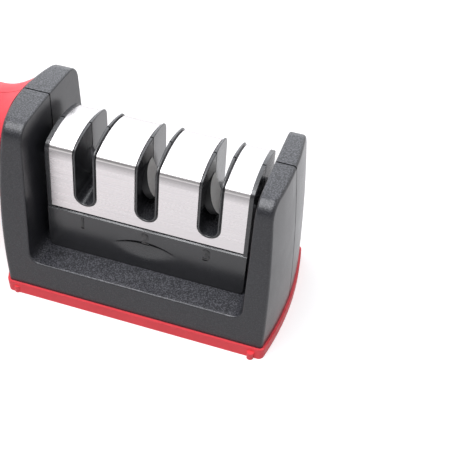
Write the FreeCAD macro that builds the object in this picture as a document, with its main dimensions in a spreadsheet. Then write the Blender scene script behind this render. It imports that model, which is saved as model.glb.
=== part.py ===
import FreeCAD, Part
import math
import os

from FreeCAD import Placement, Rotation, Vector

# Three-stage pull-through knife sharpener: a black cradle head on a red non-slip pad,
# a red handle to its left and a lift-out sharpening module with a steel cover.
# Millimetres. X runs along the head, handle towards -X. Y runs from front (-Y) to back.
# Z is up. The origin is the middle of the pad's underside below the head.

SIZES = {
    # pad and base plate
    "pad_thick": 4.3,
    "pad_proud": 0.9,
    "pad_corner": 2.2,
    "nub_radius": 1.25,
    "nub_height": 2.9,
    "nub_left_proud": 0.5,
    "nub_right_proud": 1.5,
    "nub_out": 46.4,
    "plate_thick": 3.0,
    "fit_gap": 0.15,
    # head, outside
    "head_half_depth": 28.66,
    "face_slope": 0.083,
    "left_top": 72.8,
    "right_top": 66.8,
    "tower_crown": 320.0,
    "tower_shoulder": 7.0,
    "right_reach": 53.1,
    "right_plan_radius": 138.0,
    "right_side_radius": 650.0,
    "right_side_level": -8.7,
    "left_reach": 56.35,
    "left_plan_radius": 75.0,
    "left_side_radius": 262.0,
    "left_side_level": 26.2,
    "edge_round": 1.4,
    "cradle_edge_round": 0.6,
    "housing_wall": 2.2,
    "parting_gap": 0.26,
    # cradle between the towers
    "cradle_floor": 15.9,
    "cradle_left": 41.0,
    "cradle_left_draft": 0.9,
    "cradle_right": 41.15,
    "cradle_corner": 4.0,
    # handle, measured outwards from the middle of the head
    "root_in": 46.0,
    "root_half_depth": 29.5,
    "root_half_height": 28.2,
    "root_square": 3.2,
    "flare_long": 20.0,
    "neck_out": 62.5,
    "neck_half_depth": 17.9,
    "neck_half_height": 19.3,
    "neck_level": 48.5,
    "swell_out": 108.0,
    "swell_half_depth": 18.8,
    "swell_half_height": 18.4,
    "swell_level": 50.4,
    "tail_out": 146.0,
    "tail_half_depth": 16.0,
    "tail_half_height": 14.8,
    "tail_level": 53.4,
    "grip_square": 2.25,
    "tip_out": 163.0,
    "grip_wall": 2.6,
    "grip_gap": 0.35,
    "grip_rib": 2.4,
    "grip_rib_out": 9.0,
    "tang_out": 148.0,
    "tang_half_depth": 8.0,
    "tang_low": 41.5,
    "tang_high": 58.0,
    "tang_wall": 2.5,
    "tang_root": 3.0,
    # module
    "module_middle": 0.065,
    "module_length": 76.3,
    "module_half_depth": 15.6,
    "module_slope": 0.039,
    "module_top": 63.9,
    "module_crown": 34.0,
    "module_shoulder": 3.2,
    "module_corner": 2.4,
    "module_wall": 2.0,
    "seat_gap": 0.1,
    "lip_width": 1.45,
    "lip_proud": 0.3,
    "panel_proud": 0.6,
    "panel_top": 34.4,
    "ledge_drop": 0.5,
    "ledge_round": 0.3,
    "cover_thick": 0.5,
    "cover_low": 35.0,
    "cover_gap": 0.08,
    # knife slots
    "slot_pitch": 23.34,
    "slot_cut_half": 4.5,
    "slot_low": 38.1,
    "rim_half": 4.0,
    "rim_proud": 0.6,
    "rim_round": 0.3,
    "mouth_half": 3.3,
    "throat_half": 2.9,
    "throat_rise": 1.2,
    # finger notch in the front panel
    "notch_half_width": 12.0,
    "notch_top": 29.0,
    "notch_ends": 25.6,
    "notch_lip_ball": 45.0,
    "notch_low": 18.0,
    "notch_reach": 16.4,
    "notch_depth": 2.4,
    "notch_hollow": 36.0,
    "notch_backing": 1.4,
    # abrasives
    "plate_tilt": 20.0,
    "plate_cross": 49.4,
    "plate_radius": 7.8,
    "plate_centre_in": 2.7,
    "plate_centre_up": 0.4,
    "plate_cut_in": 1.2,
    "plate_depth": 3.0,
    "plate_fit": 0.08,
    "plate_seat": 1.0,
    "seat_drop": 0.6,
    "seat_back": 1.0,
    "carbide_tilt": 20.0,
    "carbide_cross": 47.0,
    "carbide_width": 5.6,
    "carbide_height": 12.0,
    "carbide_thick": 1.6,
    "carbide_gap": 0.2,
    "carbide_below": 3.4,
    # module base and its plug
    "flange_thick": 1.5,
    "flange_step": 1.2,
    "plug_half_length": 26.0,
    "plug_half_depth": 10.0,
    "plug_depth": 3.2,
    "plug_fit": 0.35,
    # guide ribs and leaf springs in the end gaps
    "guide_out": 8.0,
    "guide_thick": 1.6,
    "guide_low": 22.0,
    "guide_high": 52.0,
    "guide_gap": 0.35,
    "clip_width": 6.0,
    "clip_thick": 0.4,
    "clip_low": 26.0,
    "clip_high": 50.0,
    "clip_gap": 0.3,
    "clip_tab": 3.0,
    "keeper_high": 1.85,
    "keeper_lip": 0.6,
    # screws
    "screw_shaft": 1.3,
    "screw_head": 2.3,
    "screw_head_high": 1.7,
    "screw_head_round": 0.5,
    "screw_point": 1.2,
    "recess_arm": 1.3,
    "recess_half": 0.35,
    "recess_deep": 1.0,
    "tip_room": 1.0,
    "screw_fit": 0.05,
    "bore_fit": 0.2,
    "boss_wall": 1.6,
    "head_seat": 17.0,
    "head_screw_long": 28.0,
    "module_seat": 9.0,
    "module_screw_long": 18.0,
    "grip_seat": 12.0,
    "grip_screw_long": 24.0,
    "base_screw_long": 7.0,
    "tower_screw_level": 40.0,
    "right_screw_out": 45.2,
    "left_screw_out": 46.0,
    "sill_screw_level": 10.6,
    "module_screw_out": 31.0,
    "module_screw_level": 24.8,
    "base_screw_out": 30.0,
    "base_screw_deep": 20.5,
    "grip_screw_near": 84.0,
    "grip_screw_far": 134.0,
}

# How far a rib or boss starts inside the wall that carries it.
BURIED = 1.0
# How far a cutting form runs past the face that it leaves through.
PAST = 5.0
# Reach of forms that are trimmed by others on every side.
FAR = 90.0
# Two places nearer than this are the same place.
TOUCH = 0.05
# Points along an edge at which it is tested, its ends counted.
EDGE_POINTS = 5
# How finely the handle is drawn: points round a section, sections along it and in its tip.
OVAL_POINTS = 24
HANDLE_STEPS = 25
TIP_STEPS = 5
# How far round the tip closes before its small flat end.
TIP_TURN = math.radians(78)

doc = FreeCAD.newDocument("knife_sharpener")
sheet = doc.addObject("Spreadsheet::Sheet", "Sizes")
for row, (alias, value) in enumerate(SIZES.items(), start=1):
    sheet.set("A%d" % row, alias)
    sheet.set("B%d" % row, str(value))
    sheet.setAlias("B%d" % row, alias)
doc.recompute()


def size(alias):
    return float(getattr(sheet, alias))


# Every sub-part that is written to a file, in order.
SUBPARTS = []


def keep(label, shape):
    """A sub-part whose form no sketch or primitive gives, as a feature with its own shape."""
    feature = doc.addObject("Part::Feature", label)
    feature.Label = label
    feature.Shape = shape
    feature.Placement = Placement()
    SUBPARTS.append(feature)
    return feature


def block(low, high):
    span = Vector(*high) - Vector(*low)
    return Part.makeBox(span.x, span.y, span.z, Vector(*low))


def rod(radius, start, end):
    axis = Vector(*end) - Vector(*start)
    return Part.makeCylinder(radius, axis.Length, Vector(*start), axis)


def line(a, b):
    return Part.LineSegment(Vector(*a), Vector(*b)).toShape()


def arc(a, through, b):
    return Part.Arc(Vector(*a), Vector(*through), Vector(*b)).toShape()


def solid_of(edges, travel):
    return Part.Face(Part.Wire(edges)).extrude(Vector(*travel))


def one_solid(shape):
    """The largest solid of a boolean's result, cleaned of split faces."""
    clean = shape.removeSplitter()
    return max(clean.Solids, key=lambda solid: solid.Volume)


def crowned_points(half_depth, foot, slope, top, crown, shoulder):
    """Points of a Y-Z outline: leaning face, round shoulder and crowned top, for its -Y half."""
    stretch = math.sqrt(1 + slope * slope)
    crown_centre = top - crown
    offset = -half_depth - slope * foot + shoulder * stretch
    square = 1 + slope * slope
    middle = offset * slope - crown_centre
    rest = offset * offset + crown_centre * crown_centre - (crown - shoulder) ** 2
    level = (-middle + math.sqrt(middle * middle - square * rest)) / square
    centre = Vector(0, offset + slope * level, level)
    out = Vector(0, -1, slope).normalize()
    up = (centre - Vector(0, 0, crown_centre)).normalize()
    halfway = (out + up).normalize()
    return {
        "foot": -half_depth,
        "face": centre + out * shoulder,
        "bend": centre + halfway * shoulder,
        "crown": centre + up * shoulder,
        "top": top,
    }


def crowned_edges(x, foot, points):
    """Closed outline in the plane at x, standing on the level foot."""
    def at(point, side):
        return (x, side * abs(point.y), point.z)
    low_front = (x, points["foot"], foot)
    low_back = (x, -points["foot"], foot)
    return [
        line(low_back, low_front),
        line(low_front, at(points["face"], -1)),
        arc(at(points["face"], -1), at(points["bend"], -1), at(points["crown"], -1)),
        arc(at(points["crown"], -1), (x, 0, points["top"]), at(points["crown"], 1)),
        arc(at(points["crown"], 1), at(points["bend"], 1), at(points["face"], 1)),
        line(at(points["face"], 1), low_back),
    ]


def crowned_bar(start, end, foot, half_depth, slope, top, crown, shoulder, inset=0.0):
    """Bar along X with a crowned outline, moved inwards by inset on every side but its foot."""
    stretch = math.sqrt(1 + slope * slope)
    points = crowned_points(
        half_depth - inset * stretch, foot, slope, top - inset, crown - inset, shoulder - inset)
    return solid_of(crowned_edges(start, foot, points), (end - start, 0, 0))


def barrel(axis_x, plan_radius, side_radius, level, inset=0.0):
    """Barrel about a vertical axis, whose widest ring lies at the given level."""
    low = level - FAR
    high = level + FAR
    radius = side_radius - inset

    def ring(height):
        sag = radius - math.sqrt(radius * radius - (height - level) ** 2)
        return plan_radius - inset - sag

    edges = [
        line((0, 0, low), (ring(low), 0, low)),
        arc((ring(low), 0, low), (ring(level), 0, level), (ring(high), 0, high)),
        line((ring(high), 0, high), (0, 0, high)),
        line((0, 0, high), (0, 0, low)),
    ]
    turned = Part.Face(Part.Wire(edges)).revolve(Vector(0, 0, 0), Vector(0, 0, 1), 360)
    turned.translate(Vector(axis_x, 0, 0))
    return turned


def right_end(inset=0.0):
    axis_x = size("right_reach") - size("right_plan_radius")
    return barrel(axis_x, size("right_plan_radius"), size("right_side_radius"),
                  size("right_side_level"), inset)


def left_end(inset=0.0):
    axis_x = size("left_plan_radius") - size("left_reach")
    return barrel(axis_x, size("left_plan_radius"), size("left_side_radius"),
                  size("left_side_level"), inset)


def head_form(inset, foot):
    """The head's full outer form, without its cradle, standing on the level foot."""
    slope = size("face_slope")
    half_depth = size("head_half_depth") + slope * (size("pad_thick") - foot)
    bars = []
    for start, end, top in ((-FAR, 0, size("left_top")), (0, FAR, size("right_top"))):
        bars.append(crowned_bar(start, end, foot, half_depth, slope, top,
                                size("tower_crown"), size("tower_shoulder"), inset))
    both = bars[0].fuse(bars[1])
    return both.common(left_end(inset)).common(right_end(inset))


def cradle(grow=0.0):
    """Opening between the towers, along Y, grown on its walls and floor."""
    floor = size("cradle_floor") - grow
    corner = size("cradle_corner") + grow
    left = -size("cradle_left") - grow
    right = size("cradle_right") + grow
    knee = floor + corner
    high = size("left_top") + PAST
    draft = size("cradle_left_draft") / (size("left_top") - size("cradle_floor"))
    top_x = left - draft * (high - knee)
    reach = size("head_half_depth") + PAST
    bend = corner * (1 - math.sqrt(0.5))
    edges = [
        line((left + corner, -reach, floor), (right - corner, -reach, floor)),
        arc((right - corner, -reach, floor), (right - bend, -reach, floor + bend),
            (right, -reach, knee)),
        line((right, -reach, knee), (right, -reach, high)),
        line((right, -reach, high), (top_x, -reach, high)),
        line((top_x, -reach, high), (left, -reach, knee)),
        arc((left, -reach, knee), (left + bend, -reach, floor + bend),
            (left + corner, -reach, floor)),
    ]
    return solid_of(edges, (0, 2 * reach, 0))


def soft_edges(shape, margin):
    """Edges round the cradle and round the outside; those of the underside stay sharp."""
    left = -size("cradle_left") - size("cradle_left_draft") - margin
    right = size("cradle_right") + margin
    inner = []
    outer = []
    for edge in shape.Edges:
        box = edge.BoundBox
        if box.ZMax < size("pad_thick") + TOUCH:
            continue
        if left < box.Center.x < right:
            inner.append(edge)
        else:
            outer.append(edge)
    return inner, outer


def module_span():
    middle = size("module_middle")
    half = size("module_length") / 2
    return middle - half, middle + half


def slot_centres():
    return [size("module_middle") + size("slot_pitch") * stage for stage in (-1, 0, 1)]


def screw_bosses(places, front_end, radius, clip):
    """Boss rods for screws along Y, from the front wall to the back wall, clipped to a form."""
    rods = [rod(radius, (x, -front_end, z), (x, front_end, z)) for x, z in places]
    return rods[0].multiFuse(rods[1:]).common(clip)


def screw_holes(places, front_tip, seat, back_out):
    """Pilot hole to the front, clearance hole and counterbore to the back, for each screw."""
    pilot = size("screw_shaft") + size("screw_fit")
    clear = size("screw_shaft") + size("bore_fit")
    head = size("screw_head") + size("bore_fit")
    holes = []
    for x, z in places:
        holes.append(rod(pilot, (x, front_tip, z), (x, 0, z)))
        holes.append(rod(clear, (x, 0, z), (x, seat, z)))
        holes.append(rod(head, (x, seat, z), (x, back_out, z)))
    return holes[0].multiFuse(holes[1:])


def screw_tip(seat, length):
    """Y of the end of a pilot hole, for a screw whose head rests at seat."""
    return seat - length - size("tip_room")


def halves(shape):
    """Front and back half of a shape, a parting gap apart at the middle plane."""
    half_gap = size("parting_gap") / 2
    box = shape.BoundBox
    front = block((box.XMin - PAST, box.YMin - PAST, box.ZMin - PAST),
                  (box.XMax + PAST, -half_gap, box.ZMax + PAST))
    back = block((box.XMin - PAST, half_gap, box.ZMin - PAST),
                 (box.XMax + PAST, box.YMax + PAST, box.ZMax + PAST))
    return one_solid(shape.common(front)), one_solid(shape.common(back))


def head_screw_places():
    return [
        (size("right_screw_out"), size("tower_screw_level")),
        (-size("left_screw_out"), size("tower_screw_level")),
        (0.0, size("sill_screw_level")),
    ]


def base_screw_places():
    out = size("base_screw_out")
    deep = size("base_screw_deep")
    return [(x, y) for x in (-out, out) for y in (-deep, deep)]


def end_ribs():
    """Guide ribs that stand from both cradle walls towards the module's ends."""
    low, high = module_span()
    gap = size("guide_gap")
    thick = size("guide_thick")
    ribs = []
    for side in (-1, 1):
        y = side * size("guide_out")
        ribs.append(block((-size("cradle_left") - BURIED, y - thick / 2, size("guide_low")),
                          (low - gap, y + thick / 2, size("guide_high"))))
        ribs.append(block((high + gap, y - thick / 2, size("guide_low")),
                          (size("cradle_right") + BURIED, y + thick / 2, size("guide_high"))))
    return ribs


def clip_keepers():
    """Small blocks above and below each leaf spring that hold its ends on the wall."""
    deep = size("clip_thick") + size("keeper_lip")
    half = size("clip_width") / 2
    below = size("clip_low") - size("fit_gap")
    above = size("clip_high") + size("fit_gap")
    keepers = []
    for low, high in ((below - size("keeper_high"), below), (above, above + size("keeper_high"))):
        keepers.append(block((-size("cradle_left") - BURIED, -half, low),
                             (clip_wall(-1) + deep, half, high)))
        keepers.append(block((clip_wall(1) - deep, -half, low),
                             (size("cradle_right") + BURIED, half, high)))
    return keepers


def clip_wall(side):
    """X of the flat that a leaf spring's ends lie on."""
    if side > 0:
        return size("cradle_right")
    return -size("cradle_left")


def clip_pads():
    """Flat seat for the left leaf spring, because that wall has a draft."""
    half = size("clip_width") / 2
    past = size("fit_gap") + size("keeper_high")
    return [block((-size("cradle_left") - BURIED, -half, size("clip_low") - past),
                  (clip_wall(-1), half, size("clip_high") + past))]


def tang():
    """Hollow beam from the left tower into the handle."""
    wall = size("tang_wall")
    half = size("tang_half_depth")
    inner_x = -size("left_reach") + size("housing_wall") + size("tang_root")
    outer = block((-size("tang_out"), -half, size("tang_low")), (inner_x, half, size("tang_high")))
    hollow = block((-size("tang_out") + wall, -half + wall, size("tang_low") + wall),
                   (-size("left_reach") - 2 * wall, half - wall, size("tang_high") - wall))
    return outer, hollow


def grip_screw_places():
    """Screw axes in the handle, at the middle of the tang."""
    level = (size("tang_low") + size("tang_high")) / 2
    return [(-size("grip_screw_near"), level), (-size("grip_screw_far"), level)]


def build_housing():
    """Front and back half of the black head, with its tang."""
    foot = size("pad_thick")
    wall = size("housing_wall")
    body = one_solid(head_form(0.0, foot).cut(cradle()))
    inner, _ = soft_edges(body, TOUCH)
    body = body.makeFillet(size("cradle_edge_round"), inner)
    _, outer = soft_edges(body, size("cradle_edge_round") + TOUCH)
    body = body.makeFillet(size("edge_round"), outer)
    below = foot - BURIED
    cavity = head_form(wall, below).cut(cradle(wall))
    above_plate = foot + size("plate_thick") + size("fit_gap")
    bosses = screw_bosses(head_screw_places(), size("head_half_depth"),
                          size("screw_head") + size("boss_wall"), head_form(wall / 2, above_plate))
    pillars = []
    for x, y in base_screw_places():
        radius = size("screw_shaft") + size("boss_wall")
        pillars.append(rod(radius, (x, y, foot + size("plate_thick")),
                           (x, y, size("cradle_floor") - wall / 2)))
    beam, beam_hollow = tang()
    shell = body.cut(cavity)
    extra = pillars + end_ribs() + clip_pads() + clip_keepers() + [beam]
    shell = shell.multiFuse([bosses.cut(cradle())] + extra)
    fit = size("plug_fit")
    middle = size("module_middle")
    long = size("plug_half_length") + fit
    deep = size("plug_half_depth") + fit
    pocket = block((middle - long, -deep, size("cradle_floor") - size("plug_depth") - fit),
                   (middle + long, deep, size("cradle_floor") + PAST))
    holes = screw_holes(head_screw_places(), screw_tip(size("head_seat"), size("head_screw_long")),
                        size("head_seat"), size("head_half_depth") + PAST)
    pilot = size("screw_shaft") + size("screw_fit")
    base_tip = foot + size("screw_head_high") + size("base_screw_long") + size("tip_room")
    pilots = [rod(pilot, (x, y, foot), (x, y, base_tip)) for x, y in base_screw_places()]
    clear = size("screw_shaft") + size("bore_fit")
    reach = size("tang_half_depth") + PAST
    tang_holes = [rod(clear, (x, -reach, z), (x, reach, z)) for x, z in grip_screw_places()]
    shell = shell.cut(holes.multiFuse([pocket, beam_hollow] + pilots + tang_holes))
    front, back = halves(shell)
    keep("housing_front", front)
    keep("housing_back", back)


def oval(x, level, half_depth, half_height, squareness):
    """Points of a closed section of the handle in the plane at x, starting at its underside."""
    points = []
    for step in range(OVAL_POINTS + 1):
        angle = 2 * math.pi * (step % OVAL_POINTS) / OVAL_POINTS - math.pi / 2
        across = math.cos(angle)
        along = math.sin(angle)
        y = half_depth * math.copysign(abs(across) ** (2 / squareness), across)
        z = level + half_height * math.copysign(abs(along) ** (2 / squareness), along)
        points.append(Vector(x, y, z))
    return points


def handle_size(name, out):
    """A size of the handle's section, eased from neck to swell and from swell to tail."""
    stations = ("neck", "swell", "tail")
    for near, far in zip(stations, stations[1:]):
        start = size(near + "_out")
        end = size(far + "_out")
        share = min(max((out - start) / (end - start), 0.0), 1.0)
        if share < 1.0 or far == stations[-1]:
            eased = (1 - math.cos(math.pi * share)) / 2
            low = size("%s_%s" % (near, name))
            high = size("%s_%s" % (far, name))
            return low + (high - low) * eased


def handle_flare(out):
    """1 at the handle's root inside the tower, falling to 0 at its neck."""
    share = min(max((out - size("root_in")) / size("flare_long"), 0.0), 1.0)
    return (1 - share) ** 2


def handle_section(out, inset):
    """Section of the handle at a distance out, thinned by inset."""
    flare = handle_flare(out)

    def flared(name):
        plain = handle_size(name, out)
        return plain + (size("root_" + name) - plain) * flare - inset

    square = size("grip_square") + (size("root_square") - size("grip_square")) * flare
    return oval(-out, handle_size("level", out), flared("half_depth"), flared("half_height"), square)


def handle_form(inset):
    """Solid handle from its root inside the tower to its rounded tip, as one smooth surface."""
    root = size("root_in")
    tail = size("tail_out")
    spacing = (tail - root) / HANDLE_STEPS
    sections = [handle_section(root + spacing * step, inset) for step in range(HANDLE_STEPS + 1)]
    dome = size("tip_out") - inset - tail
    for step in range(1, TIP_STEPS + 1):
        turn = TIP_TURN * step / TIP_STEPS
        ring = math.cos(turn)
        sections.append(oval(-tail - dome * math.sin(turn) / math.sin(TIP_TURN), size("tail_level"),
                             (size("tail_half_depth") - inset) * ring,
                             (size("tail_half_height") - inset) * ring, size("grip_square")))
    surface = Part.BSplineSurface()
    surface.interpolate(sections)
    side = surface.toShape()
    ends = [Part.Face(Part.Wire([edge])) for edge in side.Edges if edge.BoundBox.XLength < TOUCH]
    skin = Part.makeShell([side] + ends)
    skin.sewShape()
    return Part.makeSolid(skin)


def build_grips():
    """Front and back red shell of the handle."""
    outer = handle_form(0.0)
    inner = handle_form(size("grip_wall"))
    backing = handle_form(size("grip_wall") / 2)
    gap = size("fit_gap")
    half = size("tang_half_depth") + gap
    tang_space = block((-size("tang_out") - gap, -half, size("tang_low") - gap),
                       (0, half, size("tang_high") + gap))
    ribs = []
    rib = size("grip_rib")
    for x, _ in grip_screw_places():
        for shift in (-size("grip_rib_out"), size("grip_rib_out")):
            slab = block((x + shift - rib / 2, -FAR, 0), (x + shift + rib / 2, FAR, FAR))
            ribs.append(slab.common(backing))
    radius = size("screw_head") + size("boss_wall")
    for x, z in grip_screw_places():
        ribs.append(rod(radius, (x, -FAR, z), (x, FAR, z)).common(backing))
    shell = outer.cut(inner).multiFuse(ribs).cut(tang_space)
    holes = screw_holes(grip_screw_places(), screw_tip(size("grip_seat"), size("grip_screw_long")),
                        size("grip_seat"), FAR)
    shell = shell.cut(holes).cut(left_end(-size("grip_gap")))
    front, back = halves(shell)
    keep("handle_grip_front", front)
    keep("handle_grip_back", back)


def build_pad():
    """Red non-slip pad, flat below, with four nubs at its front and back edges."""
    foot = 0.0
    thick = size("pad_thick")
    slab = block((-FAR, -FAR, foot), (FAR, FAR, thick))
    body = one_solid(head_form(-size("pad_proud"), foot).common(slab))
    verticals = [edge for edge in body.Edges if edge.BoundBox.ZLength > thick / 2]
    body = body.makeFillet(size("pad_corner"), verticals)
    nubs = []
    half_depth = size("head_half_depth") + size("face_slope") * thick + size("pad_proud")
    for x, proud in ((-size("nub_out"), size("nub_left_proud")), (size("nub_out"), size("nub_right_proud"))):
        for side in (-1, 1):
            y = side * (half_depth + proud - size("nub_radius"))
            nubs.append(rod(size("nub_radius"), (x, y, foot), (x, y, size("nub_height"))))
    keep("base_pad", one_solid(body.multiFuse(nubs)))


def build_base_plate():
    """Plate that closes the head below, inside the housing's skirt."""
    foot = size("pad_thick")
    top = foot + size("plate_thick")
    slab = block((-FAR, -FAR, foot), (FAR, FAR, top))
    body = head_form(size("housing_wall") + size("fit_gap"), foot).common(slab)
    clear = size("screw_shaft") + size("bore_fit")
    head = size("screw_head") + size("bore_fit")
    holes = []
    for x, y in base_screw_places():
        holes.append(rod(clear, (x, y, foot - PAST), (x, y, top + PAST)))
        holes.append(rod(head, (x, y, foot - PAST), (x, y, foot + size("screw_head_high"))))
    keep("base_plate", one_solid(body.cut(holes[0].multiFuse(holes[1:]))))


def module_bar(start, end, inset, foot):
    """Bar with the module's crowned outline; inset is counted from the steel's outer face."""
    return crowned_bar(start, end, foot, module_depth(foot), size("module_slope"), size("module_top"),
                       size("module_crown"), size("module_shoulder"), inset)


def module_foot():
    return size("cradle_floor") + size("seat_gap")


def module_depth(level):
    """Half depth of the module's form at a level, to the steel's outer face."""
    return size("module_half_depth") - size("module_slope") * (level - module_foot())


def module_panel(low, high):
    """Proud panel below the steel on both faces, with a sloping, rounded ledge on top."""
    foot = module_foot()
    top = size("panel_top")
    edge = top - size("ledge_drop")
    reach = -panel_face(foot)
    at_edge = -panel_face(edge)
    at_top = module_depth(top) - size("cover_thick")
    corners = [(low, -reach, foot), (low, -at_edge, edge), (low, -at_top, top),
               (low, at_top, top), (low, at_edge, edge), (low, reach, foot)]
    edges = [line(start, end) for start, end in zip(corners, corners[1:] + corners[:1])]
    panel = solid_of(edges, (high - low, 0, 0))
    ledges = [item for item in panel.Edges
              if item.BoundBox.XLength > high - low - TOUCH and abs(item.BoundBox.Center.z - edge) < TOUCH]
    return panel.makeFillet(size("ledge_round"), ledges)


def rounded_front(low_x, high_x, low_z, corner):
    """Tall block through Y whose two lower corners are rounded."""
    bend = corner * (1 - math.sqrt(0.5))
    edges = [
        line((low_x + corner, -FAR, low_z), (high_x - corner, -FAR, low_z)),
        arc((high_x - corner, -FAR, low_z), (high_x - bend, -FAR, low_z + bend),
            (high_x, -FAR, low_z + corner)),
        line((high_x, -FAR, low_z + corner), (high_x, -FAR, FAR)),
        line((high_x, -FAR, FAR), (low_x, -FAR, FAR)),
        line((low_x, -FAR, FAR), (low_x, -FAR, low_z + corner)),
        arc((low_x, -FAR, low_z + corner), (low_x + bend, -FAR, low_z + bend),
            (low_x + corner, -FAR, low_z)),
    ]
    return solid_of(edges, (0, 2 * FAR, 0))


def slot_outline(centre, y, half, middle):
    """U of half-width half, whose round floor is centred at the level middle."""
    return [
        line((centre - half, y, FAR), (centre - half, y, middle)),
        arc((centre - half, y, middle), (centre, y, middle - half), (centre + half, y, middle)),
        line((centre + half, y, middle), (centre + half, y, FAR)),
        line((centre + half, y, FAR), (centre - half, y, FAR)),
    ]


def rim_middle():
    """Level about which the slot's round floor and its rim are drawn."""
    return size("slot_low") + size("slot_cut_half")


def channel(centre):
    """Inner space of one slot, narrower at the middle plane than at its two mouths."""
    deep = size("module_half_depth")
    mouth = Part.Wire(slot_outline(centre, -deep, size("mouth_half"), rim_middle()))
    throat_middle = rim_middle() + size("throat_half") - size("mouth_half") + size("throat_rise")
    throat = Part.Wire(slot_outline(centre, 0, size("throat_half"), throat_middle))
    front = Part.makeLoft([mouth, throat], True, True)
    front = front.fuse(Part.Face(mouth).extrude(Vector(0, -PAST, 0)))
    back = front.copy()
    back.rotate(Vector(centre, 0, 0), Vector(0, 0, 1), 180)
    return front.fuse(back)


def slot_rim(centre, low, high):
    """Wall round one slot, whose proud edge is a rounded bead."""
    form = module_bar(low, high, -size("rim_proud"), module_foot())
    outline = slot_outline(centre, -FAR, size("rim_half"), rim_middle())
    rim = one_solid(solid_of(outline, (0, 2 * FAR, 0)).common(form).cut(channel(centre)))
    beads = [edge for edge in rim.Edges if edge_on_form(edge, form)]
    return rim.makeFillet(size("rim_round"), beads)


def edge_on_form(edge, form):
    """Whether an edge lies on the surface of a form, away from the form's own foot."""
    if edge.BoundBox.ZMax < module_foot() + TOUCH:
        return False
    shell = form.Shells[0]
    between_ends = edge.discretize(EDGE_POINTS)[1:-1]
    return all(shell.distToShape(Part.Vertex(point))[0] < TOUCH for point in between_ends)


def tilted(shape, centre, level, tilt, side):
    """Place a piece drawn about its own slot line: front ones lean left, back ones right."""
    shape.rotate(Vector(0, 0, 0), Vector(0, 1, 0), -tilt)
    if side > 0:
        shape.rotate(Vector(0, 0, 0), Vector(0, 0, 1), 180)
    shape.translate(Vector(centre, 0, level))
    return shape


def abrasive_space(centre, side, grow, back_grow, face_drop):
    """Space of one D-shaped abrasive plate, grown for its seat or its fit."""
    radius = size("plate_radius") + grow
    chord = size("plate_cut_in") - grow
    rise = size("plate_centre_up")
    middle = size("plate_centre_in")
    half_chord = math.sqrt(radius * radius - (middle - chord) ** 2)
    edges = [
        arc((-face_drop, -chord, rise + half_chord), (-face_drop, -middle - radius, rise),
            (-face_drop, -chord, rise - half_chord)),
        line((-face_drop, -chord, rise - half_chord), (-face_drop, -chord, rise + half_chord)),
    ]
    depth = size("plate_depth") + back_grow - face_drop
    return tilted(solid_of(edges, (-depth, 0, 0)), centre, size("plate_cross"),
                  size("plate_tilt"), side)


def carbide_space(centre, side, grow, edge_back):
    """Space of one carbide blade; edge_back draws its seat back from the cutting edge."""
    gap = size("carbide_gap") / 2
    low = -size("carbide_below") - grow
    high = size("carbide_height") - size("carbide_below") + grow
    shape = block((-size("carbide_width") - grow, -gap - size("carbide_thick") - grow, low),
                  (-edge_back, -gap + grow, high))
    return tilted(shape, centre, size("carbide_cross"), size("carbide_tilt"), side)


def seats():
    """Pockets' walls round every abrasive, and the spaces that the abrasives take."""
    carbide_stage, diamond_stage, ceramic_stage = slot_centres()
    wall = size("plate_seat")
    fit = size("plate_fit")
    bodies = []
    spaces = []
    for side in (-1, 1):
        bodies.append(carbide_space(carbide_stage, side, wall, size("seat_back")))
        spaces.append(carbide_space(carbide_stage, side, fit, -fit))
        for centre in (diamond_stage, ceramic_stage):
            bodies.append(abrasive_space(centre, side, wall, wall, size("seat_drop")))
            spaces.append(abrasive_space(centre, side, fit, fit, -fit))
    return bodies, spaces


def panel_face(level):
    """Y of the front panel's face at a level."""
    return -module_depth(level) - size("panel_proud")


def notch():
    """Finger notch: a ball cuts its lip, and a shallow dish runs out smoothly below."""
    middle = size("module_middle")
    half = size("notch_half_width")
    rise = size("notch_top") - size("notch_ends")
    arc_radius = (half * half + rise * rise) / (2 * rise)
    ball = size("notch_lip_ball")
    ball_level = size("notch_top") - arc_radius
    ball_out = math.sqrt(ball * ball - arc_radius * arc_radius)
    lip = Part.makeSphere(ball, Vector(middle, panel_face(size("notch_top")) - ball_out, ball_level))
    reach = size("notch_reach")
    deep = size("notch_depth")
    both_radii = (reach * reach + deep * deep) / (2 * deep)
    hollow = size("notch_hollow")
    turn = math.asin(reach / both_radii)
    knee = (hollow * math.sin(turn), deep - hollow * (1 - math.cos(turn)))
    inner = (hollow * math.sin(turn / 2), deep - hollow * (1 - math.cos(turn / 2)))
    blend = both_radii - hollow
    outer = (reach - blend * math.sin(turn / 2), blend * (1 - math.cos(turn / 2)))
    edges = [
        arc((0, deep, 0), (*inner, 0), (*knee, 0)),
        arc((*knee, 0), (*outer, 0), (reach, 0, 0)),
        line((reach, 0, 0), (reach, -PAST, 0)),
        line((reach, -PAST, 0), (0, -PAST, 0)),
        line((0, -PAST, 0), (0, deep, 0)),
    ]
    dish = Part.Face(Part.Wire(edges)).revolve(Vector(0, 0, 0), Vector(0, 1, 0), 360)
    level = size("notch_low") + reach
    lean = math.degrees(math.atan(size("module_slope")))
    dish.rotate(Vector(0, 0, 0), Vector(1, 0, 0), -lean)
    dish.translate(Vector(middle, panel_face(level), level))
    return dish.common(lip)


def notch_backing(wall_inside):
    """Thicker wall behind the notch, above the flange of the module's base."""
    middle = size("module_middle")
    half = size("notch_half_width") + size("module_wall")
    low = base_flange_top() + size("fit_gap")
    inner = wall_inside - size("notch_backing")
    return block((middle - half, -wall_inside - size("cover_thick"), low),
                 (middle + half, -inner, size("notch_top") + size("module_wall")))


def base_flange_top():
    return module_foot() + size("module_wall") + size("fit_gap") / 2 + size("flange_thick")


def base_half_depth():
    """Half depth of the shells' lower opening, which leaves the flange clear of their walls."""
    inside = module_depth(base_flange_top()) - size("cover_thick") - size("cover_gap")
    return inside - size("module_wall") - size("flange_step") - size("fit_gap")


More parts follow.
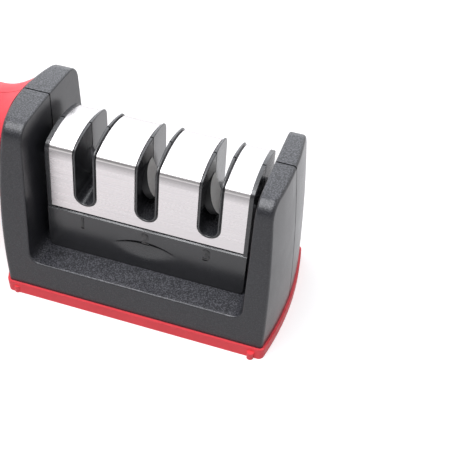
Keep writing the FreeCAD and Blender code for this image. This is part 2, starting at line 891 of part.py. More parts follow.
def module_screw_places():
    middle = size("module_middle")
    out = size("module_screw_out")
    return [(middle - out, size("module_screw_level")), (middle + out, size("module_screw_level"))]


def build_module_shells():
    """Front and back half shell of the module, with rims, lips, panels and seats."""
    low, high = module_span()
    foot = module_foot()
    wall = size("module_wall")
    lip = size("lip_width")
    proud = size("lip_proud")
    under = size("cover_thick") + size("cover_gap")
    core = module_bar(low, high, under, foot)
    lips = [module_bar(low, low + lip, -proud, foot), module_bar(high - lip, high, -proud, foot)]
    skin = core.multiFuse([module_panel(low, high)] + lips)
    skin = skin.common(rounded_front(low, high, foot, size("module_corner")))
    hollow = module_bar(low, high, wall + under, foot).common(
        rounded_front(low + wall, high - wall, foot + wall, size("module_corner") - wall / 2))
    neck_x = size("module_corner") + wall
    opening = block((low + neck_x, -base_half_depth(), foot - PAST),
                    (high - neck_x, base_half_depth(), foot + wall + BURIED))
    seat_bodies, spaces = seats()
    inside = module_bar(low + wall / 2, high - wall / 2, wall / 2 + under, foot)
    bosses = screw_bosses(module_screw_places(), size("module_half_depth"),
                          size("screw_head") + size("boss_wall"), inside)
    channels = [channel(centre) for centre in slot_centres()]
    backing = notch_backing(size("module_half_depth") - wall - under)
    shell = skin.cut(hollow)
    shell = shell.multiFuse([bosses, backing] + [body.common(inside) for body in seat_bodies])
    shell = shell.cut(opening.multiFuse(channels + [notch()]))
    shell = shell.multiFuse([slot_rim(centre, low, high) for centre in slot_centres()])
    holes = screw_holes(module_screw_places(), screw_tip(size("module_seat"), size("module_screw_long")),
                        size("module_seat"), size("module_half_depth") + PAST)
    shell = shell.cut(holes.multiFuse(spaces))
    front, back = halves(shell)
    keep("module_front_shell", front)
    keep("module_back_shell", back)


def plane_of(body, role):
    for feature in body.Origin.OriginFeatures:
        if feature.Role == role:
            return feature


def new_body(label):
    body = doc.addObject("PartDesign::Body", label)
    body.Label = label
    SUBPARTS.append(body)
    return body


def sketch_on(body, role, name, geometry, offset=0.0):
    """Sketch of the given lines and arcs on one of the body's own origin planes."""
    sketch = body.newObject("Sketcher::SketchObject", name)
    sketch.AttachmentSupport = (plane_of(body, role), [""])
    sketch.MapMode = "FlatFace"
    sketch.AttachmentOffset = Placement(Vector(0, 0, offset), Rotation())
    sketch.addGeometry(geometry, False)
    return sketch


def flat(a, b):
    return Part.LineSegment(Vector(a[0], a[1], 0), Vector(b[0], b[1], 0))


def flat_arc(a, through, b):
    return Part.Arc(Vector(a[0], a[1], 0), Vector(through[0], through[1], 0), Vector(b[0], b[1], 0))


def build_steel_cover():
    """Folded sheet over the module's front, top and back, with three slots."""
    low, high = module_span()
    lip = size("lip_width") + size("cover_gap")
    foot = size("cover_low")
    outer = crowned_at(foot, 0.0)
    inner = crowned_at(foot, size("cover_thick"))

    def curve(points, flip):
        order = [("foot", -1), ("face", -1), ("bend", -1), ("crown", -1), ("top", 0),
                 ("crown", 1), ("bend", 1), ("face", 1), ("foot", 1)]
        marks = []
        for key, side in order:
            if key == "foot":
                marks.append((side * abs(points["foot"]), foot))
            elif key == "top":
                marks.append((0.0, points["top"]))
            else:
                marks.append((side * abs(points[key].y), points[key].z))
        if flip:
            marks.reverse()
        return [flat(marks[0], marks[1]), flat_arc(*marks[1:4]), flat_arc(*marks[3:6]),
                flat_arc(*marks[5:8]), flat(marks[7], marks[8])]

    out_foot = abs(outer["foot"])
    in_foot = abs(inner["foot"])
    band = curve(outer, False) + [flat((out_foot, foot), (in_foot, foot))]
    band += curve(inner, True) + [flat((-in_foot, foot), (-out_foot, foot))]
    body = new_body("steel_cover")
    section = sketch_on(body, "YZ_Plane", "CoverSection", band, low + lip)
    pad = body.newObject("PartDesign::Pad", "CoverSheet")
    pad.Profile = section
    pad.setExpression("Length", "Sizes.module_length - 2 * (Sizes.lip_width + Sizes.cover_gap)")
    slots = []
    half = size("slot_cut_half")
    for centre in slot_centres():
        slots += [
            flat((centre - half, FAR), (centre - half, rim_middle())),
            flat_arc((centre - half, rim_middle()), (centre, rim_middle() - half),
                     (centre + half, rim_middle())),
            flat((centre + half, rim_middle()), (centre + half, FAR)),
            flat((centre + half, FAR), (centre - half, FAR)),
        ]
    cut = sketch_on(body, "XZ_Plane", "CoverSlots", slots)
    pocket = body.newObject("PartDesign::Pocket", "CoverSlotCut")
    pocket.Profile = cut
    pocket.Type = "ThroughAll"
    pocket.Midplane = True
    doc.recompute()


def crowned_at(foot, inset):
    """Outline points of the module's form at a raised foot."""
    slope = size("module_slope")
    stretch = math.sqrt(1 + slope * slope)
    return crowned_points(module_depth(foot) - inset * stretch, foot, slope, size("module_top") - inset,
                          size("module_crown") - inset, size("module_shoulder") - inset)


def build_plates():
    """Diamond and ceramic pair of D-shaped plates, each a pad turned to its place."""
    radius = size("plate_radius")
    chord = size("plate_cut_in")
    middle = size("plate_centre_in")
    rise = size("plate_centre_up")
    half_chord = math.sqrt(radius * radius - (middle - chord) ** 2)
    for name, centre in zip(("diamond", "ceramic"), slot_centres()[1:]):
        for side, place in ((-1, "front"), (1, "back")):
            body = new_body("%s_plate_%s" % (name, place))
            outline = [
                flat_arc((-chord, rise + half_chord), (-middle - radius, rise),
                         (-chord, rise - half_chord)),
                flat((-chord, rise - half_chord), (-chord, rise + half_chord)),
            ]
            section = sketch_on(body, "YZ_Plane", "Outline", outline)
            pad = body.newObject("PartDesign::Pad", "Plate")
            pad.Profile = section
            pad.Reversed = True
            pad.setExpression("Length", "Sizes.plate_depth")
            body.Placement = leaning(centre, size("plate_cross"), size("plate_tilt"), side)
    doc.recompute()


def leaning(centre, level, tilt, side):
    lean = Rotation(Vector(0, 1, 0), -tilt)
    turn = Rotation(Vector(0, 0, 1), 180 if side > 0 else 0)
    return Placement(Vector(centre, 0, level), turn.multiply(lean))


def build_carbides():
    """Carbide blades of the first stage, crossed side by side at the middle plane."""
    centre = slot_centres()[0]
    for side, place in ((-1, "front"), (1, "back")):
        body = new_body("carbide_blade_%s" % place)
        width = size("carbide_width")
        low = -size("carbide_below")
        high = low + size("carbide_height")
        outline = [flat((-width, low), (0, low)), flat((0, low), (0, high)),
                   flat((0, high), (-width, high)), flat((-width, high), (-width, low))]
        section = sketch_on(body, "XZ_Plane", "Outline", outline, size("carbide_gap") / 2)
        pad = body.newObject("PartDesign::Pad", "Blade")
        pad.Profile = section
        pad.setExpression("Length", "Sizes.carbide_thick")
        body.Placement = leaning(centre, size("carbide_cross"), size("carbide_tilt"), side)
    doc.recompute()


def build_module_base():
    """Floor of the module: a flange held between the shells, a neck and the locating plug."""
    low, high = module_span()
    foot = module_foot()
    wall = size("module_wall")
    fit = size("fit_gap")
    neck_x = size("module_corner") + wall + fit
    flange_x = neck_x - size("flange_step")
    neck_y = base_half_depth() - fit
    flange_y = neck_y + size("flange_step")
    middle = size("module_middle")
    parts = [
        block((low + neck_x, -neck_y, foot), (high - neck_x, neck_y, foot + wall + fit)),
        block((low + flange_x, -flange_y, foot + wall + fit / 2),
              (high - flange_x, flange_y, base_flange_top())),
        block((middle - size("plug_half_length"), -size("plug_half_depth"), foot - size("plug_depth")),
              (middle + size("plug_half_length"), size("plug_half_depth"), foot)),
    ]
    keep("module_base", one_solid(parts[0].multiFuse(parts[1:])))


def build_clips():
    """Bowed leaf springs on both cradle walls that steady the module's ends."""
    low, high = module_span()
    gap = size("clip_gap")
    thick = size("clip_thick")
    foot = size("clip_low")
    head = size("clip_high")
    middle = (foot + head) / 2
    tab = size("clip_tab")
    for name, side, wall_x, tip in (("left", -1, clip_wall(-1), low - gap),
                                    ("right", 1, clip_wall(1), high + gap)):
        body = new_body("leaf_spring_%s" % name)
        back = wall_x
        face = wall_x - side * thick
        tip_back = tip + side * thick
        outline = [
            flat((back, foot), (face, foot)),
            flat((face, foot), (face, foot + tab)),
            flat_arc((face, foot + tab), (tip, middle), (face, head - tab)),
            flat((face, head - tab), (face, head)),
            flat((face, head), (back, head)),
            flat((back, head), (back, head - tab)),
            flat_arc((back, head - tab), (tip_back, middle), (back, foot + tab)),
            flat((back, foot + tab), (back, foot)),
        ]
        section = sketch_on(body, "XZ_Plane", "Outline", outline, -size("clip_width") / 2)
        pad = body.newObject("PartDesign::Pad", "Strip")
        pad.Profile = section
        pad.setExpression("Length", "Sizes.clip_width")
    doc.recompute()


def screw_template(name, length_alias):
    """One screw along +Z from the underside of its head, as a turned body with a cross recess."""
    body = doc.addObject("PartDesign::Body", name)
    head = size("screw_head")
    shaft = size("screw_shaft")
    high = size("screw_head_high")
    length = size(length_alias)
    point = size("screw_point")
    soft = size("screw_head_round")
    bend = soft * (1 - math.sqrt(0.5))
    blunt = shaft / 5
    outline = [flat((0, -high), (head - soft, -high)),
               flat_arc((head - soft, -high), (head - bend, -high + bend), (head, -high + soft)),
               flat((head, -high + soft), (head, 0)), flat((head, 0), (shaft, 0)),
               flat((shaft, 0), (shaft, length - point)),
               flat((shaft, length - point), (blunt, length)), flat((blunt, length), (0, length)),
               flat((0, length), (0, -high))]
    section = sketch_on(body, "XZ_Plane", "HalfSection", outline)
    turned = body.newObject("PartDesign::Revolution", "Turned")
    turned.Profile = section
    turned.ReferenceAxis = (section, ["V_Axis"])
    turned.Angle = 360
    arm = size("recess_arm")
    half = size("recess_half")
    cross = []
    corners = [(-arm, -half), (-half, -half), (-half, -arm), (half, -arm), (half, -half),
               (arm, -half), (arm, half), (half, half), (half, arm), (-half, arm),
               (-half, half), (-arm, half)]
    for start, end in zip(corners, corners[1:] + corners[:1]):
        cross.append(flat(start, end))
    recess = sketch_on(body, "XY_Plane", "CrossRecess", cross, -high)
    pocket = body.newObject("PartDesign::Pocket", "Recess")
    pocket.Profile = recess
    pocket.setExpression("Length", "Sizes.recess_deep")
    pocket.Reversed = True
    doc.recompute()
    return body


def screw_group(label, template, places, turn):
    """A group of equal screws, one solid for each place."""
    copies = []
    for place in places:
        copy = template.Shape.copy()
        copy.Placement = Placement(Vector(*place), turn)
        copies.append(copy)
    keep(label, Part.makeCompound(copies))


def build_screws():
    inwards = Rotation(Vector(1, 0, 0), 90)
    seat = size("head_seat")
    long_screw = screw_template("HeadScrew", "head_screw_long")
    screw_group("housing_screws", long_screw, [(x, seat, z) for x, z in head_screw_places()], inwards)
    seat = size("grip_seat")
    grip_screw = screw_template("GripScrew", "grip_screw_long")
    screw_group("handle_screws", grip_screw, [(x, seat, z) for x, z in grip_screw_places()], inwards)
    seat = size("module_seat")
    module_screw = screw_template("ModuleScrew", "module_screw_long")
    screw_group("module_screws", module_screw, [(x, seat, z) for x, z in module_screw_places()],
                inwards)
    level = size("pad_thick") + size("screw_head_high")
    base_screw = screw_template("BaseScrew", "base_screw_long")
    screw_group("base_screws", base_screw, [(x, y, level) for x, y in base_screw_places()],
                Rotation())


def check_and_write():
    """Every feature must have built, and every sub-part must be sound, before a file is written."""
    doc.recompute()
    for item in doc.Objects:
        if "Invalid" in item.State or "Error" in item.State:
            raise RuntimeError("%s failed: %s" % (item.Label, item.State))
    for subpart in SUBPARTS:
        if subpart.Shape.isNull() or not subpart.Shape.isValid() or not subpart.Shape.Solids:
            raise RuntimeError("%s has no sound shape" % subpart.Label)
    os.makedirs("parts", exist_ok=True)
    for subpart in SUBPARTS:
        subpart.Shape.exportStep("parts/%s.step" % subpart.Label)
        print("%-20s solids %d volume %.0f mm3" % (
            subpart.Label, len(subpart.Shape.Solids), subpart.Shape.Volume))


def main():
    for build in (build_housing, build_grips, build_pad, build_base_plate, build_module_shells,
                  build_steel_cover, build_plates, build_carbides, build_module_base, build_clips,
                  build_screws):
        build()
    check_and_write()


if __name__ == "__main__":
    main()
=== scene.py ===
import math

import bpy
from mathutils import Matrix, Vector


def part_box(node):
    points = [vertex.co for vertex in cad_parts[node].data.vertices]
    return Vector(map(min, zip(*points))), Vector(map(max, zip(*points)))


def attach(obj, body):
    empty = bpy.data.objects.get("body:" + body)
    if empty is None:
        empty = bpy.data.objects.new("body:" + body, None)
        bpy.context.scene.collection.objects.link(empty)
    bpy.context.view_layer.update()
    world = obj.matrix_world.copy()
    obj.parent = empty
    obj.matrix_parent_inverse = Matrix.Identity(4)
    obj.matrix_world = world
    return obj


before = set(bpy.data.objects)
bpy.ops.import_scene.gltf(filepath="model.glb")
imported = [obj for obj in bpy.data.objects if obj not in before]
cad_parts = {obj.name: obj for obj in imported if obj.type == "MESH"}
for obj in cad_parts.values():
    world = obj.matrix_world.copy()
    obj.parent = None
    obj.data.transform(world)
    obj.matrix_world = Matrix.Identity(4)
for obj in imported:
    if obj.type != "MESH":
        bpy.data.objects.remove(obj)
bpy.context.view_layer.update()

# Looks of a three-stage pull-through knife sharpener. Metres, in the part's own frame.
MM = 0.001

# Camera at the photo's view. The image is 450 pixels wide.
IMAGE_WIDTH_PX = 450
FOCAL_PX = 897.602
SENSOR_MM = 36.0
CAMERA_AZIMUTH = math.radians(14.25)
CAMERA_PITCH = math.radians(41.94)
CAMERA_ROLL = math.radians(4.679)
CAMERA_PLACE = Vector((0.085863, -0.237934, 0.253124))

# Stage and light.
WHITE = (1.0, 1.0, 1.0)
FLOOR_HALF = 3.0
FLOOR_COLOUR = (0.56, 0.55, 0.555)
FLOOR_ROUGH = 0.9
FLOOR_GLOW = 0.62
FLOOR_GLOW_REFLECTED = 0.36
WORLD_FILL = 0.3
# The room in front of the table, as polished faces see it: darker from the horizon upwards.
ROOM_LEVEL = 0.25
ROOM_LOW = -0.05
ROOM_DARKEST = 0.4
ROOM_HIGH = 0.6
ROOM_TOP = 0.68
ROOM_SIDE = -0.25
ROOM_SOFT = 0.18

# Digits that number the three stages on the front panel, which leans by a slope.
DIGIT_HIGH = 4.7 * MM
DIGIT_DROP = 2.2 * MM
DIGIT_PROUD = 0.16 * MM
DIGIT_EDGE = 0.05 * MM
DIGIT_BOLD = 0.1 * MM
DIGIT_SHARE_OF_FONT = 0.7
FIRST_DIGIT_SHIFT = -1.1 * MM
PANEL_SLOPE = 0.039

# Painted shade under the finger notch's upper edge, on the front panel alone: near-black colour and less
# shine.
NOTCH_TOP = 29.0 * MM
NOTCH_HALF = 12.0 * MM
NOTCH_RISE = 3.4 * MM
NOTCH_EDGE = 0.2 * MM
CRESCENT_THICK = 2.0 * MM
CRESCENT_SOFT = 0.5 * MM
PANEL_FROM = -12.5 * MM
PANEL_TO = -12.0 * MM

# Painted shade: a darker band in the steel's colour below its fold, standing in for the dark room that
# the bend reflects.
FOLD_LEVEL = 59.6 * MM
FOLD_FADE = 3.4 * MM
FOLD_EDGE = 0.3 * MM
FOLD_SHADE = 0.48

# Moulded plastic: shine, pale speckle on upper faces that is partly dust and partly painted light, and
# painted shade in the parting line.
PATCH_SHADE = 0.92
SHINE = 0.5
NOTCH_SHINE_SHARE = 0.05
COAT = 0.4
COAT_ROUGH = 0.22
# Pale speckle, stronger on upward faces: partly dust, partly painted light that makes the top faces
# lighter.
SPECKLE_GRAINS = 2300.0
SPECKLE_LEVELS = (0.42, 0.7)
UPWARD = (0.5, 0.95)
UPWARD_DUST_AND_LIGHT = (0.15, 0.8)
# Painted shade along the parting line; its near-black colour also paints the shade under the finger
# notch.
SEAM_SHADE_HALF = 0.35 * MM
SEAM_SHADE_CORE = 0.7 * SEAM_SHADE_HALF
PAINTED_SHADE_COLOUR = (0.004, 0.004, 0.005)

# Steel and abrasives. Streaks are scales along X, Y and Z.
FINE_STREAKS = (60.0, 4200.0, 4200.0)
BROAD_STREAKS = (14.0, 900.0, 900.0)
STREAK_SHADE = 0.95
MARK_SHADE = 0.8
ABRASIVE_TILT = math.radians(20)
FACING = (0.9, 0.95)
# Near-black painted shade on the plates' faces that don't face the slot.
EDGE_SHADE_COLOUR = (0.02, 0.02, 0.021)


def new_object(name, data):
    """Object that shows this data, linked into the scene."""
    item = bpy.data.objects.new(name, data)
    bpy.context.scene.collection.objects.link(item)
    return item


def feed(tree, socket, value):
    """An output, a colour or a number into a node's socket."""
    if isinstance(value, bpy.types.NodeSocket):
        tree.links.new(value, socket)
    elif isinstance(value, tuple):
        socket.default_value = (*value, 1.0)
    else:
        socket.default_value = value


def combine(tree, operation, *values):
    """One math node, on outputs or numbers."""
    node = tree.nodes.new("ShaderNodeMath")
    node.operation = operation
    for socket, value in zip(node.inputs, values):
        feed(tree, socket, value)
    return node.outputs[0]


def map_range(tree, source, low, high, start, end, kind="LINEAR"):
    """Source from low..high mapped to start..end, and held at those beyond."""
    node = tree.nodes.new("ShaderNodeMapRange")
    node.interpolation_type = kind
    limits = {"From Min": low, "From Max": high, "To Min": start, "To Max": end}
    for name, value in limits.items():
        node.inputs[name].default_value = value
    tree.links.new(source, node.inputs["Value"])
    return node.outputs["Result"]


def coordinate(tree, axis, vector):
    """One coordinate of a vector."""
    node = tree.nodes.new("ShaderNodeSeparateXYZ")
    tree.links.new(vector, node.inputs[0])
    return node.outputs[axis]


def seen_directly(tree):
    """1 for camera and transmission rays."""
    path = tree.nodes.new("ShaderNodeLightPath")
    return combine(tree, "MAXIMUM", path.outputs["Is Camera Ray"], path.outputs["Is Transmission Ray"])


def seen_reflected(tree):
    """1 for rays that leave a polished face."""
    return tree.nodes.new("ShaderNodeLightPath").outputs["Is Glossy Ray"]


class Shader:
    """Short way to add and link nodes in one material."""

    def __init__(self, name):
        self.material = bpy.data.materials.new(name)
        self.material.use_nodes = True
        self.tree = self.material.node_tree
        self.surface = self.tree.nodes["Principled BSDF"]
        self.place = self.node("ShaderNodeTexCoord").outputs["Object"]

    def node(self, kind, **values):
        """New node, with values for some of its inputs."""
        node = self.tree.nodes.new(kind)
        for name, value in values.items():
            node.inputs[name].default_value = value
        return node

    def link(self, source, target):
        """Output into a socket."""
        self.tree.links.new(source, target)

    def give(self, name, value):
        """Output, colour or number for one input of the surface."""
        feed(self.tree, self.surface.inputs[name], value)

    def stretched(self, scale):
        """Object coordinates, scaled by axis, in metres."""
        node = self.node("ShaderNodeMapping", Scale=scale)
        self.link(self.place, node.inputs["Vector"])
        return node.outputs["Vector"]

    def noise(self, scale, detail=3.0, roughness=0.5, vector=None):
        """Noise, most of it near 0.5."""
        node = self.node("ShaderNodeTexNoise", Scale=scale, Detail=detail, Roughness=roughness)
        self.link(vector or self.place, node.inputs["Vector"])
        return node.outputs["Fac"]

    def cells(self, scale):
        """Distance from the middle of the nearest cell."""
        node = self.node("ShaderNodeTexVoronoi", Scale=scale)
        self.link(self.place, node.inputs["Vector"])
        return node.outputs["Distance"]

    def span(self, source, low, high, start=0.0, end=1.0):
        """Source from low..high mapped to start..end."""
        return map_range(self.tree, source, low, high, start, end)

    def spread(self, noise, start=0.0, end=1.0, reach=0.2):
        """Noise within reach of 0.5 mapped to start..end."""
        return self.span(noise, 0.5 - reach, 0.5 + reach, start, end)

    def times(self, first, second):
        """Product of two outputs."""
        return combine(self.tree, "MULTIPLY", first, second)

    def mix(self, factor, first, second):
        """Colour between first and second, each a colour or an output."""
        node = self.node("ShaderNodeMix")
        node.data_type = "RGBA"
        self.link(factor, node.inputs["Factor"])
        for key, value in (("A", first), ("B", second)):
            socket = [s for s in node.inputs if s.name == key and s.type == "RGBA"][0]
            feed(self.tree, socket, value)
        return [s for s in node.outputs if s.type == "RGBA"][0]

    def bump(self, height, distance, under=None):
        """Normal bent by a height, on top of another bump if there is one."""
        node = self.node("ShaderNodeBump", Strength=1.0, Distance=distance)
        self.link(height, node.inputs["Height"])
        if under:
            self.link(under, node.inputs["Normal"])
        return node.outputs["Normal"]

    def along(self, axis, vector):
        """One coordinate of a vector."""
        return coordinate(self.tree, axis, vector)

    def unsigned(self, source):
        """A value without its sign."""
        return combine(self.tree, "ABSOLUTE", source)

    def normal(self):
        """The surface's direction."""
        return self.node("ShaderNodeTexCoord").outputs["Normal"]

    def distance_from_middle(self):
        """Distance from the plane in which the two half shells meet."""
        return self.unsigned(self.along("Y", self.place))

    def facing_slot(self, tilt):
        """How squarely the surface faces the way that a leaning abrasive's face does."""
        normal = self.normal()
        across = self.span(self.unsigned(self.along("X", normal)), 0.0, 1.0, 0.0, math.cos(tilt))
        above = self.span(self.along("Z", normal), -1.0, 1.0, -math.sin(tilt), math.sin(tilt))
        return combine(self.tree, "ADD", across, above)

    def from_axis(self, x, z):
        """Distance from a line along Y through x and z."""
        node = self.node("ShaderNodeVectorMath")
        node.operation = "DISTANCE"
        self.link(self.stretched((1.0, 0.0, 1.0)), node.inputs[0])
        node.inputs[1].default_value = (x, 0.0, z)
        return node.outputs["Value"]

    def notch_shade(self):
        """Mask of the painted shade: 1 in the crescent under the finger notch's upper edge, 0 elsewhere.
        """
        radius = (NOTCH_HALF ** 2 + NOTCH_RISE ** 2) / (2 * NOTCH_RISE)
        from_notch = self.from_axis(0.0, NOTCH_TOP - radius)
        below = self.span(from_notch, radius - NOTCH_EDGE, radius, 1.0, 0.0)
        low_rise = NOTCH_RISE - CRESCENT_THICK
        low_radius = (NOTCH_HALF ** 2 + low_rise ** 2) / (2 * low_rise)
        from_low = self.from_axis(0.0, NOTCH_TOP - CRESCENT_THICK - low_radius)
        above = self.span(from_low, low_radius - CRESCENT_SOFT, low_radius + CRESCENT_SOFT)
        front = self.span(self.along("Y", self.place), PANEL_FROM, PANEL_TO, 1.0, 0.0)
        return self.times(self.times(below, above), front)


def shade(colour, factor):
    """Colour made darker by a factor."""
    return tuple(channel * factor for channel in colour)


def moulded_plastic(name, colour, dust_and_top_light, rough, grain, bend=1.55):
    """Plastic with a fine moulded grain, pale speckle on its upper faces that is partly dust and partly
    painted light, and painted shade in its parting line and under the finger notch.
    """
    s = Shader(name)
    patches = s.spread(s.noise(scale=70.0, detail=2.0))
    plain = s.mix(patches, shade(colour, PATCH_SHADE), colour)
    # Painted light and dust: more pale speckle the more a face looks upward.
    upward_dust_and_light = s.span(s.along("Z", s.normal()), *UPWARD, *UPWARD_DUST_AND_LIGHT)
    speckle_and_top_light = s.times(s.span(s.noise(SPECKLE_GRAINS, detail=1.0), *SPECKLE_LEVELS), upward_dust_and_light)
    marked = s.mix(speckle_and_top_light, plain, dust_and_top_light)
    # Painted shade along the parting line: near-black colour and no shine.
    seam_shade = s.span(s.distance_from_middle(), SEAM_SHADE_CORE, SEAM_SHADE_HALF, 1.0, 0.0)
    # Painted shade in the crescent under the finger notch's upper edge.
    notch_painted_shade = s.notch_shade()
    s.give("Base Color", s.mix(notch_painted_shade, s.mix(seam_shade, marked, PAINTED_SHADE_COLOUR), PAINTED_SHADE_COLOUR))
    # Less shine in the painted shade of the parting line and of the notch.
    shine = s.times(s.span(seam_shade, 0.0, 1.0, SHINE, 0.0), s.span(notch_painted_shade, 0.0, 1.0, 1.0, NOTCH_SHINE_SHARE))
    s.give("IOR", bend)
    s.give("Specular IOR Level", shine)
    s.give("Coat Weight", s.span(shine, 0.0, SHINE, 0.0, COAT))
    s.give("Coat Roughness", COAT_ROUGH)
    s.give("Roughness", s.spread(s.noise(scale=110.0), rough - 0.02, rough + 0.03))
    fine = s.bump(s.noise(scale=2400.0, detail=2.0), grain)
    s.give("Normal", s.bump(s.cells(scale=1300.0), grain / 2, fine))
    return s.material


def soft_red(name, colour, rough, grain):
    """Soft-touch red with slight mottling."""
    s = Shader(name)
    s.give("Base Color", s.mix(s.spread(s.noise(scale=60.0)), shade(colour, PATCH_SHADE), colour))
    s.give("Roughness", s.spread(s.noise(scale=200.0), rough - 0.04, rough + 0.06))
    s.give("Normal", s.bump(s.noise(scale=2200.0, detail=2.0), grain))
    return s.material


def brushed_steel(name, colour, rough, stroke):
    """Steel brushed along X: fine streaks in colour, roughness and height, and a band of painted shade
    below the fold.
    """
    s = Shader(name)
    s.give("Metallic", 1.0)
    s.give("Anisotropic", 0.4)
    streaks = s.noise(1.0, detail=4.0, roughness=0.6, vector=s.stretched(FINE_STREAKS))
    broad = s.noise(1.0, detail=2.0, vector=s.stretched(BROAD_STREAKS))
    brushed = s.mix(s.spread(streaks, reach=0.15), shade(colour, STREAK_SHADE), colour)
    level = s.along("Z", s.place)
    # Painted shade: the steel's colour darker in a band below the fold.
    below_fold = s.span(level, FOLD_LEVEL - FOLD_FADE, FOLD_LEVEL)
    fold_painted_shade = s.times(below_fold, s.span(level, FOLD_LEVEL, FOLD_LEVEL + FOLD_EDGE, 1.0, 0.0))
    s.give("Base Color", s.mix(fold_painted_shade, brushed, shade(colour, FOLD_SHADE)))
    s.give("Roughness", s.spread(broad, rough - 0.04, rough + 0.05))
    s.give("Normal", s.bump(streaks, stroke))
    return s.material


def plain_metal(name, colour, rough):
    """Plated or ground metal with faint random marks."""
    s = Shader(name)
    s.give("Metallic", 1.0)
    marks = s.noise(scale=700.0, detail=4.0, roughness=0.6)
    s.give("Base Color", s.mix(s.spread(marks), shade(colour, MARK_SHADE), colour))
    s.give("Roughness", s.spread(marks, rough - 0.06, rough + 0.08))
    s.give("Normal", s.bump(marks, 0.01 * MM))
    return s.material


def abrasive(name, colour, pale, grit):
    """Grit-coated or sintered abrasive with pale grains on its face, and near-black painted shade on the
    faces that don't face the slot.
    """
    s = Shader(name)
    grains = s.noise(grit, roughness=0.7)
    coat = s.mix(s.spread(grains, reach=0.15), colour, pale)
    # Painted shade: faces that don't face the slot turn near-black.
    face = s.span(s.facing_slot(ABRASIVE_TILT), *FACING)
    s.give("Base Color", s.mix(face, EDGE_SHADE_COLOUR, coat))
    s.give("Roughness", 0.5)
    s.give("Normal", s.bump(grains, 0.03 * MM))
    return s.material


def paint(nodes, material):
    """One material on each of these CAD nodes, under the node's own slot."""
    for name in nodes:
        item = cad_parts[name]
        item.data.materials.clear()
        item.data.materials.append(material)


def paint_plastics():
    """Black mouldings, and the red handle and pad."""
    paint(["housing_front", "housing_back"],
          moulded_plastic("housing_black", colour=(0.022, 0.0225, 0.027), dust_and_top_light=(0.16, 0.16, 0.18),
                          rough=0.31, grain=0.04 * MM, bend=1.42))
    paint(["module_front_shell", "module_back_shell"],
          moulded_plastic("module_black", colour=(0.024, 0.0245, 0.028), dust_and_top_light=(0.07, 0.07, 0.076),
                          rough=0.24, grain=0.015 * MM, bend=1.62))
    paint(["base_plate", "module_base"],
          moulded_plastic("inner_black", colour=(0.02, 0.02, 0.021), dust_and_top_light=(0.03, 0.03, 0.03),
                          rough=0.5, grain=0.01 * MM))
    paint(["handle_grip_front", "handle_grip_back"],
          soft_red("handle_red", colour=(0.93, 0.065, 0.09), rough=0.36, grain=0.006 * MM))
    paint(["base_pad"], soft_red("pad_red", colour=(0.97, 0.07, 0.09), rough=0.45, grain=0.01 * MM))


def paint_metals():
    """Steel cover, springs and screws."""
    paint(["steel_cover"],
          brushed_steel("cover_steel", colour=(0.82, 0.785, 0.79), rough=0.27, stroke=0.0005 * MM))
    paint(["leaf_spring_left", "leaf_spring_right"],
          plain_metal("spring_steel", colour=(0.6, 0.6, 0.62), rough=0.3))
    paint(["housing_screws", "handle_screws", "module_screws", "base_screws"],
          plain_metal("screw_steel", colour=(0.5, 0.5, 0.52), rough=0.32))


def paint_stages():
    """Blades and plates that sharpen in the three slots."""
    paint(["carbide_blade_front", "carbide_blade_back"],
          plain_metal("carbide", colour=(0.42, 0.42, 0.44), rough=0.35))
    paint(["diamond_plate_front", "diamond_plate_back"],
          abrasive("diamond_grit", colour=(0.78, 0.74, 0.71), pale=(0.94, 0.91, 0.88), grit=2600.0))
    paint(["ceramic_plate_front", "ceramic_plate_back"],
          abrasive("ceramic_grey", colour=(0.84, 0.81, 0.78), pale=(0.94, 0.92, 0.89), grit=3600.0))


def make_digit(stage, x, material):
    """Raised digit on the front panel, upright below the steel's lower edge."""
    curve = bpy.data.curves.new("digit", "FONT")
    curve.body = str(stage)
    curve.align_x = "CENTER"
    curve.size = DIGIT_HIGH / DIGIT_SHARE_OF_FONT
    curve.extrude = DIGIT_PROUD / 2
    curve.bevel_depth = DIGIT_EDGE
    curve.offset = DIGIT_BOLD
    mould = new_object("digit_mould", curve)
    mesh = bpy.data.meshes.new_from_object(mould)
    bpy.data.objects.remove(mould)
    piece = new_object("stage_digit_%d" % stage, mesh)
    shell_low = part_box("module_front_shell")[0]
    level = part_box("steel_cover")[0][2] - DIGIT_DROP - DIGIT_HIGH
    face = shell_low[1] + PANEL_SLOPE * (level - shell_low[2])
    turn = Matrix.Rotation(math.pi / 2 - math.atan(PANEL_SLOPE), 4, "X")
    piece.matrix_world = Matrix.Translation((x, face - DIGIT_PROUD / 2, level)) @ turn
    mesh.materials.clear()
    mesh.materials.append(material)
    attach(piece, "module")


def make_digits():
    """Stage numbers below the slots, centred on each pair of abrasives."""
    black = moulded_plastic("digit_black", colour=(0.008, 0.008, 0.009), dust_and_top_light=(0.03, 0.03, 0.03),
                            rough=0.3, grain=0.01 * MM)
    shifts = {"carbide_blade": FIRST_DIGIT_SHIFT, "diamond_plate": 0.0, "ceramic_plate": 0.0}
    for stage, (name, shift) in enumerate(shifts.items(), 1):
        front_low, front_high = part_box(name + "_front")
        back_low, back_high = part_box(name + "_back")
        centre = (min(front_low[0], back_low[0]) + max(front_high[0], back_high[0])) / 2
        make_digit(stage, centre + shift, black)


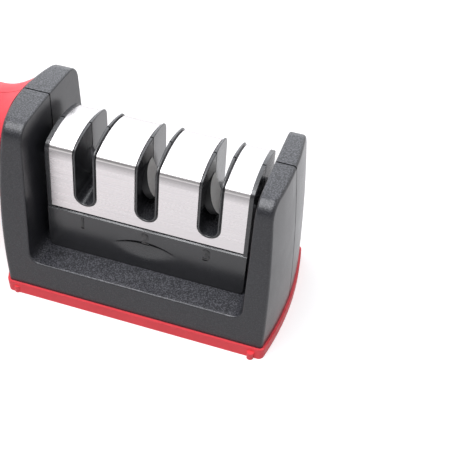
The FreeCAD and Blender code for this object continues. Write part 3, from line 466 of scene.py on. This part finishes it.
def make_floor():
    """Pale floor that reads white to the camera and keeps the object's shadow."""
    signs = ((-1, -1), (1, -1), (1, 1), (-1, 1))
    corners = [(x * FLOOR_HALF, y * FLOOR_HALF, 0) for x, y in signs]
    mesh = bpy.data.meshes.new("floor")
    mesh.from_pydata(corners, [], [(0, 1, 2, 3)])
    floor = new_object("floor", mesh)
    s = Shader("floor")
    to_camera = s.span(seen_directly(s.tree), 0.0, 1.0, 0.0, FLOOR_GLOW)
    to_gloss = s.span(seen_reflected(s.tree), 0.0, 1.0, 0.0, FLOOR_GLOW_REFLECTED)
    s.give("Base Color", FLOOR_COLOUR)
    s.give("Roughness", FLOOR_ROUGH)
    s.give("Specular IOR Level", 0.0)
    s.give("Emission Color", WHITE)
    s.give("Emission Strength", combine(s.tree, "MAXIMUM", to_camera, to_gloss))
    mesh.materials.append(s.material)


def make_world():
    """White to the camera, softer to diffuse rays; polished faces also see the darker room."""
    world = bpy.data.worlds.new("studio")
    bpy.context.scene.world = world
    world.use_nodes = True
    tree = world.node_tree
    direction = tree.nodes.new("ShaderNodeTexCoord").outputs["Generated"]

    def ramp(source, low, high, start=0.0, end=1.0):
        """Smooth step from start to end."""
        return map_range(tree, source, low, high, start, end, "SMOOTHSTEP")

    height = coordinate(tree, "Z", direction)
    rising = ramp(height, ROOM_LOW, ROOM_DARKEST)
    falling = ramp(height, ROOM_HIGH, ROOM_TOP, 1.0, 0.0)
    sideways = coordinate(tree, "Y", direction)
    ahead = ramp(sideways, ROOM_SIDE - ROOM_SOFT, ROOM_SIDE + ROOM_SOFT, 1.0, 0.0)
    room = combine(tree, "MULTIPLY", combine(tree, "MULTIPLY", rising, falling), ahead)
    reflected = ramp(room, 0.0, 1.0, 1.0, ROOM_LEVEL)
    plain = ramp(seen_directly(tree), 0.0, 1.0, WORLD_FILL, 1.0)
    darker = combine(tree, "SUBTRACT", reflected, plain)
    change = combine(tree, "MULTIPLY", darker, seen_reflected(tree))
    background = tree.nodes["Background"]
    feed(tree, background.inputs["Color"], WHITE)
    feed(tree, background.inputs["Strength"], combine(tree, "ADD", plain, change))


def area_light(name, place, width, power, colour):
    """Square lamp that faces the frame's origin."""
    data = bpy.data.lights.new(name, "AREA")
    data.shape = "SQUARE"
    data.size = width
    data.energy = power
    data.color = colour
    lamp = new_object(name, data)
    lamp.location = place
    lamp.rotation_mode = "QUATERNION"
    lamp.rotation_quaternion = (-Vector(place)).to_track_quat("-Z", "Y")


def make_camera():
    """Camera whose axes follow from azimuth, pitch and roll."""
    ahead = Vector((-math.sin(CAMERA_AZIMUTH) * math.cos(CAMERA_PITCH),
                    math.cos(CAMERA_AZIMUTH) * math.cos(CAMERA_PITCH), -math.sin(CAMERA_PITCH)))
    level_right = Vector((math.cos(CAMERA_AZIMUTH), math.sin(CAMERA_AZIMUTH), 0.0))
    level_up = level_right.cross(ahead)
    right = level_right * math.cos(CAMERA_ROLL) + level_up * math.sin(CAMERA_ROLL)
    up = right.cross(ahead)
    data = bpy.data.cameras.new("photo_view")
    data.sensor_width = SENSOR_MM
    data.lens = FOCAL_PX / IMAGE_WIDTH_PX * SENSOR_MM
    camera = new_object("photo_view", data)
    turn = Matrix((right, up, -ahead)).transposed()
    camera.matrix_world = Matrix.Translation(CAMERA_PLACE) @ turn.to_4x4()
    bpy.context.scene.camera = camera


paint_plastics()
paint_metals()
paint_stages()
make_digits()
make_floor()
make_world()
area_light("overhead", place=(-0.25, -0.25, 1.1), width=0.9, power=12.0, colour=(0.96, 0.97, 1.0))
area_light("window", place=(-0.1, 1.0, 0.8), width=1.6, power=7.0, colour=(0.88, 0.93, 1.0))
make_camera()
bpy.context.scene.view_settings.view_transform = "Standard"
